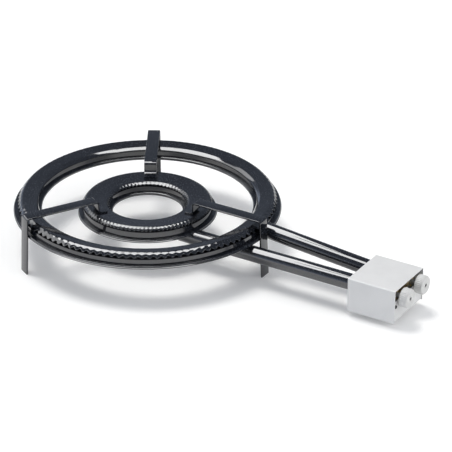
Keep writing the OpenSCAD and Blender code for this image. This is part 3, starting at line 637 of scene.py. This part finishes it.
class BURNER_OT_legs(bpy.types.Operator):
    """Add the three bent strip legs with their arms and flanges"""
    bl_idname = "burner.legs"
    bl_label = "Legs"

    def execute(self, context):
        sizes = context.scene.burner_strips
        fall = context.scene.burner_rings.inner_fall
        outer, inner = ring_levels(context, "outer"), ring_levels(context, "inner")
        arm_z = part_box("leg_tube_side")[1].z
        thick = sizes.thickness
        top_r = outer.rim + sizes.weld_gap + thick / math.cos(sizes.lean)
        face = [top_r + (outer.roll - z) * math.tan(sizes.lean) for z in (-thick, arm_z)]
        drop = inner.crest - sizes.flange_inset - thick
        flange = drop - sizes.flange
        lift = thick / math.cos(fall) + sizes.weld_gap
        path = rounded_path(
            [(face[0], -thick), (face[1], arm_z), (drop, arm_z), (drop, fallen(inner, drop, fall) + lift),
             (flange, fallen(inner, flange, fall) + lift)], (sizes.bend,) * 3, steps=8)
        for name, degrees in (("tube_side", 0), ("far_side", 120), ("near_side", 240)):
            self.add_leg(context, name, path, math.radians(degrees))
        return {"FINISHED"}

    def add_leg(self, context, name, path, angle):
        """A rounded strip section carried along the path: a point is the path's, moved through the thickness
        along the path's normal and across the width square to the path's plane. The floor cuts the foot."""
        sizes = context.scene.burner_strips
        section = rounded_rectangle(sizes.width, sizes.thickness, sizes.edge, steps=3)
        depth = section[:, 1] + sizes.thickness / 2
        flat = path[:, None, :] + depth[None, :, None] * left_normals(path)[:, None, :]
        radius, height = flat[..., 0], flat[..., 1]
        radius[0] += height[0] * math.tan(sizes.lean)
        height[0] = 0
        across = np.broadcast_to(section[:, 0], radius.shape)
        points = np.stack([radius * math.cos(angle) - across * math.sin(angle),
                           radius * math.sin(angle) + across * math.cos(angle), height], axis=-1)
        faces = grid_faces(*radius.shape, False)
        node = f"leg_{name}"
        add_piece(context, f"strip_{node}", points, faces, "glossy_enamel", [node])


def tube_axis(node, rounds=12):
    """Middles of a tube's mouth and closed end, and its radius. The box of a tube of length l, slope s and
    diameter d is l cos s + d sin s long and l sin s + d cos s high. Rounds of substitution give l and s."""
    low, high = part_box(node)
    long, tall, radius = high.x - low.x, high.z - low.z, (high.y - low.y) / 2
    slope = 0.0
    for _ in range(rounds):
        run = (long - 2 * radius * math.sin(slope)) / math.cos(slope)
        slope = math.asin(max(tall - 2 * radius * math.cos(slope), 0) / run)
    side, rise = radius * math.sin(slope), radius * math.cos(slope)
    middle = (low.y + high.y) / 2
    mouth, end = (high.x - side, middle, low.z + rise), (low.x + side, middle, high.z - rise)
    return np.array(mouth), np.array(end), radius


class BURNER_OT_tubes(bpy.types.Operator):
    """Add the two mixing tubes"""
    bl_idname = "burner.tubes"
    bl_label = "Mixing tubes"

    def execute(self, context):
        sizes = context.scene.burner_strips
        for ring in RINGS:
            node = f"{ring}_ring_tube"
            mouth, end, radius = tube_axis(node)
            run = np.linalg.norm(end - mouth)
            bore, soft = radius - sizes.tube_wall, sizes.tube_end
            profile = rounded_path(
                [(run - sizes.tube_wall, bore - soft), (run - sizes.tube_wall, bore), (0, bore), (0, radius),
                 (run, radius), (run, radius - 2 * soft)],
                (soft / 2, soft / 4, soft / 4, soft), steps=4)
            axis = unit(end - mouth)
            points = lathed(profile[:, :1], profile[:, 1:], angles(TUBE_STEPS), mouth, axis, (0, 1, 0))
            faces = grid_faces(len(profile), TUBE_STEPS, False)
            add_piece(context, f"{ring}_mixing_tube", points, faces, "glossy_enamel", [node])
        return {"FINISHED"}


class BURNER_OT_control_box(bpy.types.Operator):
    """Add the bent frame and cover of the control box"""
    bl_idname = "burner.control_box"
    bl_label = "Control box"

    def execute(self, context):
        width = context.scene.burner_knobs.sheet_edge
        for part in ("frame", "cover"):
            bevelled_copy(context, f"control_box_{part}", f"box_{part}_bent", "white_powder_coat", width)
        return {"FINISHED"}


# Along a knob, in shares of its length: over which runs the grip begins and ends, where the two turned
# grooves lie, and how wide they are
GRIP_BEGINS = (0.12, 0.2)
GRIP_ENDS = (0.76, 0.7)
RING_GROOVES = (0.1, 0.74)
RING_GROOVE_WIDTH = 0.035


def entry(low, high):
    """Point where the line along x through the middle of a box enters it."""
    return np.array([low.x, (low.y + high.y) / 2, (low.z + high.z) / 2])


class BURNER_OT_knobs(bpy.types.Operator):
    """Add the two moulded knobs"""
    bl_idname = "burner.knobs"
    bl_label = "Knobs"

    def execute(self, context):
        sizes = context.scene.burner_knobs
        for tap in RINGS:
            low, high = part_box(f"{tap}_knob")
            radius, long = (high.z - low.z) / 2, high.x - low.x
            recess = long - sizes.recess_depth
            bevel, soft = sizes.bevel, sizes.bevel / 4
            loop = rounded_path(
                [(recess, sizes.screw_hole + soft), (recess, sizes.recess), (long, sizes.recess),
                 (long, radius), (0, radius), (0, sizes.socket), (sizes.socket_depth, sizes.socket),
                 (sizes.socket_depth, sizes.screw_hole), (recess, sizes.screw_hole)],
                (soft / 2, soft, bevel, bevel / 2, soft, soft / 2, soft / 2), steps=6)
            loop = resampled(loop, step=0.0005)
            along, reach = loop[:, :1], loop[:, 1:]
            steps = sizes.flutes * GRIP_FLUTE_STEPS
            angle, share = angles(steps), along / long
            side = eased(reach, radius - bevel / 2, radius - bevel / 8)
            grip = side * eased(share, *GRIP_BEGINS) * eased(share, *GRIP_ENDS)
            flute = sizes.flute_depth * grip * zigzag(angle, sizes.flutes)
            grooves = sum(np.exp(-((share - place) / RING_GROOVE_WIDTH) ** 2) for place in RING_GROOVES)
            reach = reach - flute - sizes.ring_groove * side * grooves
            points = lathed(along, reach, angle, entry(low, high), (1, 0, 0), (0, 1, 0))
            faces = grid_faces(len(loop), steps, True)
            add_piece(context, f"{tap}_knob_moulded", points, faces, "satin_plastic", [f"{tap}_knob"])
        return {"FINISHED"}


# Shape of a cross-headed screw, in shares of its sizes, and the turn of its cross in radians
CROWN = (0.05, 0.86)
CROWN_RINGS = 22
CROWN_FALL = 0.32
CROSS_BAR, CROSS_ARM, CROSS_SOFT, CROSS_DEPTH = 0.16, 0.62, 0.05, 0.5
CROSS_TURN = 0.4
HEAD_SIDE = ((0.96, 0.55), (1.0, 0.3), (1.0, 0.05), (0.97, 0.0))
SHANK_POINT, SHANK_TIP = 0.3, 0.7


def cross_screw(seat, axis, head, rise, shank, reach):
    """Pan-head screw as a grid of rings about its axis: a dome that falls as the square of the radius, sunk
    where two crossed bars lie, then the head's side, its seat and the shank."""
    crown = np.linspace(*CROWN, CROWN_RINGS)[:, None] * head
    angle = angles(SCREW_STEPS)
    offsets = np.abs(crown * np.cos(angle)), np.abs(crown * np.sin(angle))
    soft = CROSS_SOFT * head
    narrow = [np.clip((CROSS_BAR * head - offset) / soft + 0.5, 0, 1) for offset in offsets]
    wide = [np.clip((CROSS_ARM * head - offset) / soft + 0.5, 0, 1) for offset in offsets]
    cross = np.maximum(narrow[0] * wide[1], narrow[1] * wide[0])
    top = rise * (1 - CROWN_FALL * (crown / head) ** 2) - CROSS_DEPTH * rise * cross
    rest = np.concatenate([np.array(HEAD_SIDE) * (head, rise),
                           [(shank, 0), (shank, SHANK_POINT * shank - reach), (SHANK_TIP * shank, -reach)]])
    flat = np.ones_like(angle)
    along = np.concatenate([top, rest[:, 1:] * flat])
    radius = np.concatenate([crown * flat, rest[:, :1] * flat])
    points = lathed(along, radius, angle + CROSS_TURN, seat, axis, (0, 0, 1))
    return points, grid_faces(*radius.shape, False)


class BURNER_OT_screws(bpy.types.Operator):
    """Add the cover screws and the knob screws"""
    bl_idname = "burner.screws"
    bl_label = "Screws"

    def execute(self, context):
        sizes = context.scene.burner_knobs
        self.add_cover_screws(context, sizes)
        rise = sizes.knob_screw_rise
        for tap in RINGS:
            node = f"{tap}_knob_screw"
            low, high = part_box(node)
            head = (high.z - low.z) / 2
            seat = (high.x - rise, *entry(low, high)[1:])
            points, faces = cross_screw(seat, (1, 0, 0), head, rise, sizes.screw_shank, high.x - rise - low.x)
            add_piece(context, f"{node}_cross", points, faces, "dark_steel", [node], SCREW_SHARP_ANGLE)
        return {"FINISHED"}

    def add_cover_screws(self, context, sizes):
        """Four like screws in one piece: two on the front plate and two, turned round, on the back wall."""
        low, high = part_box("cover_screws")
        head, rise = sizes.cover_head, sizes.cover_rise
        shape = (head, rise, sizes.screw_shank, sizes.cover_reach)
        side_y = high.y - head
        ends = ((high.x - rise, high.z - head, 1), (low.x + rise, low.z + head, -1))
        made = [cross_screw((x, side * side_y, z), (facing, 0, 0), *shape)
                for x, z, facing in ends for side in (-1, 1)]
        size = made[0][0][..., 0].size
        points = np.concatenate([part.reshape(-1, 3) for part, _ in made])
        faces = [[corner + size * place for corner in face]
                 for place, (_, part) in enumerate(made) for face in part]
        nodes = ["cover_screws"]
        add_piece(context, "cover_screw_set", points, faces, "dark_steel", nodes, SCREW_SHARP_ANGLE)


# Fittings that are copied from their solids: nodes that occur once, and nodes that each tap has
FITTINGS = {
    "turned_brass": (("gas_manifold", "hose_nipple"), ("tap_body", "tap_bonnet", "injector", "tap_plug")),
    "zinc_steel": (("manifold_spacers", "manifold_bolts"), ("bonnet_screws", "tap_spindle")),
    "soft_copper": (("nipple_washer",), ("tap_seal",)),
}


class BURNER_OT_fittings(bpy.types.Operator):
    """Add the gas fittings inside the control box, with broken edges, and the tap springs"""
    bl_idname = "burner.fittings"
    bl_label = "Gas fittings"

    def execute(self, context):
        width = context.scene.burner_knobs.edge_break
        for look, (single, paired) in FITTINGS.items():
            for node in (*single, *(f"{tap}_{part}" for tap in RINGS for part in paired)):
                bevelled_copy(context, node, f"{node}_finished", look, width)
        for tap in RINGS:
            self.add_spring(context, tap)
        return {"FINISHED"}

    def add_spring(self, context, tap):
        """A round wire carried along a helix: the angle and the distance along the axis grow evenly together,
        and the wire's circle lies in the plane of axis and radius."""
        sizes = context.scene.burner_knobs
        node, wire = f"{tap}_tap_spring", sizes.spring_wire
        low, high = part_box(node)
        long, start = high.x - low.x, entry(low, high)
        share = np.linspace(0, 1, SPRING_STEPS)[:, None]
        around, ring = share * sizes.spring_turns * FULL_TURN, angles(WIRE_STEPS)
        mean = (high.z - low.z) / 2 - wire
        along = wire + share * (long - 2 * wire) + wire * np.sin(ring)
        points = lathed(along, mean + wire * np.cos(ring), around, start, (1, 0, 0), (0, 1, 0))
        faces = grid_faces(SPRING_STEPS, WIRE_STEPS, False)
        spring = add_piece(context, f"{tap}_spring_coiled", points, faces, "zinc_steel", [node])
        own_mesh(spring)


# Stage

# Panels that give the gloss its glints: the places of their edges to the right of the burner's axis and
# towards the camera, in metres, and their brightness
PANELS = {
    "middle_panel": ((-0.45, 0.45), (0.05, 0.72), 7.2),
    "right_panel": ((0.45, 0.76), (-0.45, 0.72), 7.2),
    "left_panel": ((-1.6, -0.62), (-0.5, 0.72), 7.2),
    "tube_panel": ((-0.62, -0.45), (-1.0, 0.72), 7.2),
    "far_panel": ((-0.45, 0.02), (-1.0, -0.1), 7.2),
    "side_panel": ((-5.2, -1.6), (-3.0, 0.6), 1.9),
}


# Shades of the room by the height of the direction, away from its pale side and on it, their tint, and where
# the pale side begins
DIM_SIDE = ((0, 0.12), (0.12, 0.17), (0.27, 0.21), (0.64, 0.18), (1, 0.12))
PALE_SIDE = ((0, 0.9), (0.1, 0.8), (0.22, 0.35), (0.4, 0.22), (1, 0.12))
ROOM_TINT = (0.86, 0.98, 1.22)
PALE_BEGINS = (0.2, 0.45)

SUN_COLOUR = (1, 0.985, 0.955)
SENSOR_WIDTH = 36
CLIP_END = 60


def view_axes(stage):
    """Level directions to the right of the camera's view and away from the camera."""
    cosine, sine = math.cos(stage.azimuth), math.sin(stage.azimuth)
    return Vector((cosine, sine, 0)), Vector((-sine, cosine, 0))


class BURNER_OT_stage(bpy.types.Operator):
    """Add the floor, the lamps and the camera"""
    bl_idname = "burner.stage"
    bl_label = "Stage"

    def execute(self, context):
        stage = context.scene.burner_stage
        self.add_floor(context, stage)
        self.add_camera(context, stage)
        self.add_lamps(context, stage)
        self.add_sky(context)
        context.scene.view_settings.view_transform = "Standard"
        return {"FINISHED"}

    def add_floor(self, context, stage):
        """A plain pale floor with a faint, slow change of tone."""
        reach = stage.floor_reach
        mesh = bpy.data.meshes.new("floor")
        mesh.from_pydata([(-reach, -reach, 0), (reach, -reach, 0), (reach, reach, 0), (-reach, reach, 0)], [],
                         [(0, 1, 2, 3)])
        floor = bpy.data.objects.new("floor", mesh)
        context.scene.collection.objects.link(floor)
        material, tree, shader, place = new_finish("pale_floor")
        tone = context.scene.burner_colours.floor
        tree.links.new(mixed(tree, noise(tree, place, 3), tuple(tone), scaled(tone, 0.985)),
                       shader.inputs["Base Color"])
        shader.inputs["Roughness"].default_value = 0.7
        shader.inputs["Specular IOR Level"].default_value = 0.2
        shader.inputs["Emission Color"].default_value = (1, 1, 1, 1)
        rays = tree.nodes.new("ShaderNodeLightPath").outputs
        gloss = combined(tree, "ADD", rays["Is Glossy Ray"], rays["Is Transmission Ray"])
        seen = combined(tree, "ADD", rays["Is Camera Ray"], gloss)
        tree.links.new(ranged(tree, seen, 0, 1, 0, stage.floor_lift), shader.inputs["Emission Strength"])
        mesh.materials.append(material)

    def add_camera(self, context, stage):
        """A long lens that looks down at the burner."""
        right, behind = view_axes(stage)
        camera = bpy.data.objects.new("camera", bpy.data.cameras.new("camera"))
        context.scene.collection.objects.link(camera)
        target = right * stage.target_right + behind * stage.target_back
        back = -behind * math.cos(stage.elevation) + Vector((0, 0, math.sin(stage.elevation)))
        camera.location = target + back * stage.distance
        camera.rotation_euler = back.to_track_quat("Z", "Y").to_euler()
        camera.data.lens = stage.lens
        camera.data.sensor_width = SENSOR_WIDTH
        camera.data.clip_end = CLIP_END
        context.scene.camera = camera

    def add_lamps(self, context, stage):
        """A soft key from above, a fill from all round and a weak low light for the colours, and the panels
        that show only in glossy surfaces."""
        suns = [self.new_sun(stage, name) for name in ("key", "fill", "low")]
        panels = [self.new_panel(stage, name, *place) for name, place in PANELS.items()]
        for lamp in (*suns, *panels):
            context.scene.collection.objects.link(lamp)

    def new_sun(self, stage, name):
        """A broad, distant light that glossy surfaces don't show, overhead if it has no tilt."""
        tilt, source = (getattr(stage, f"{name}_{angle}", 0) for angle in ("tilt", "from"))
        sun = bpy.data.objects.new(name, bpy.data.lights.new(name, "SUN"))
        sun.data.energy = getattr(stage, f"{name}_strength")
        sun.data.color = SUN_COLOUR
        sun.data.angle = getattr(stage, f"{name}_spread")
        level = math.sin(tilt)
        back = Vector((level * math.cos(source), level * math.sin(source), math.cos(tilt)))
        sun.rotation_euler = back.to_track_quat("Z", "Y").to_euler()
        sun.visible_glossy = False
        return sun

    def new_panel(self, stage, name, across, towards, glow):
        """A level panel between two distances across the view and two towards the camera. A lamp's power is
        its brightness times its area times pi."""
        right, behind = view_axes(stage)
        wide, deep = across[1] - across[0], towards[1] - towards[0]
        panel = bpy.data.objects.new(name, bpy.data.lights.new(name, "AREA"))
        panel.data.shape = "RECTANGLE"
        panel.data.size = wide
        panel.data.size_y = deep
        panel.data.energy = glow * math.pi * wide * deep
        middle = right * sum(across) / 2 - behind * sum(towards) / 2
        panel.location = middle + Vector((0, 0, stage.panel_height))
        panel.rotation_euler = (0, 0, stage.azimuth)
        panel.visible_diffuse = False
        return panel

    def add_sky(self, context):
        """A dim room whose left side is pale near the horizon. Both shades go by the direction's height, and
        its part to the left mixes them."""
        world = bpy.data.worlds.new("room")
        world.use_nodes = True
        tree = world.node_tree
        direction = tree.nodes.new("ShaderNodeTexCoord").outputs["Generated"]
        split = new_node(tree, "SeparateXYZ", {"Vector": direction}, {})
        dim, pale = (self.shade(tree, split.outputs["Z"], side) for side in (DIM_SIDE, PALE_SIDE))
        left = -view_axes(context.scene.burner_stage)[0]
        leftwards = new_node(tree, "VectorMath", {0: direction}, {1: left})
        leftwards.operation = "DOT_PRODUCT"
        share = ranged(tree, leftwards.outputs["Value"], *PALE_BEGINS, 0, 1)
        tree.links.new(mixed(tree, share, dim, pale), tree.nodes["Background"].inputs["Color"])
        context.scene.world = world

    def shade(self, tree, height, levels):
        """Slightly blue greys that go by height, from pairs of a height and a level."""
        ramp = tree.nodes.new("ShaderNodeValToRGB")
        stops = ramp.color_ramp.elements
        for place, _ in levels[1:-1]:
            stops.new(place)
        for stop, (place, level) in zip(stops, levels):
            stop.position = place
            stop.color = (*(level * part for part in ROOM_TINT), 1)
        tree.links.new(height, ramp.inputs["Fac"])
        return ramp.outputs["Color"]


class BURNER_PT_pieces(bpy.types.Panel):
    """Lists the burner's pieces in the sidebar"""
    bl_idname = "BURNER_PT_pieces"
    bl_label = "Paella burner"
    bl_space_type = "VIEW_3D"
    bl_region_type = "UI"
    bl_category = "Burner"

    def draw(self, context):
        for operator in OPERATORS:
            self.layout.operator(operator.bl_idname)


OPERATORS = (BURNER_OT_rings, BURNER_OT_legs, BURNER_OT_tubes, BURNER_OT_control_box, BURNER_OT_knobs,
             BURNER_OT_screws, BURNER_OT_fittings, BURNER_OT_stage)
GROUPS = {"burner_rings": RingSizes, "burner_strips": StripSizes, "burner_knobs": KnobSizes,
          "burner_colours": FinishColours, "burner_stage": StageSettings}
CLASSES = (*GROUPS.values(), *OPERATORS, BURNER_PT_pieces)


def register():
    for member in CLASSES:
        bpy.utils.register_class(member)
    for name, group in GROUPS.items():
        setattr(bpy.types.Scene, name, PointerProperty(type=group))


def unregister():
    for name in GROUPS:
        delattr(bpy.types.Scene, name)
    for member in reversed(CLASSES):
        bpy.utils.unregister_class(member)


def main():
    """Registers the add-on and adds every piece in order."""
    register()
    bpy.ops.burner.rings()
    bpy.ops.burner.legs()
    bpy.ops.burner.tubes()
    bpy.ops.burner.control_box()
    bpy.ops.burner.knobs()
    bpy.ops.burner.screws()
    bpy.ops.burner.fittings()
    bpy.ops.burner.stage()


if __name__ == "__main__":
    main()
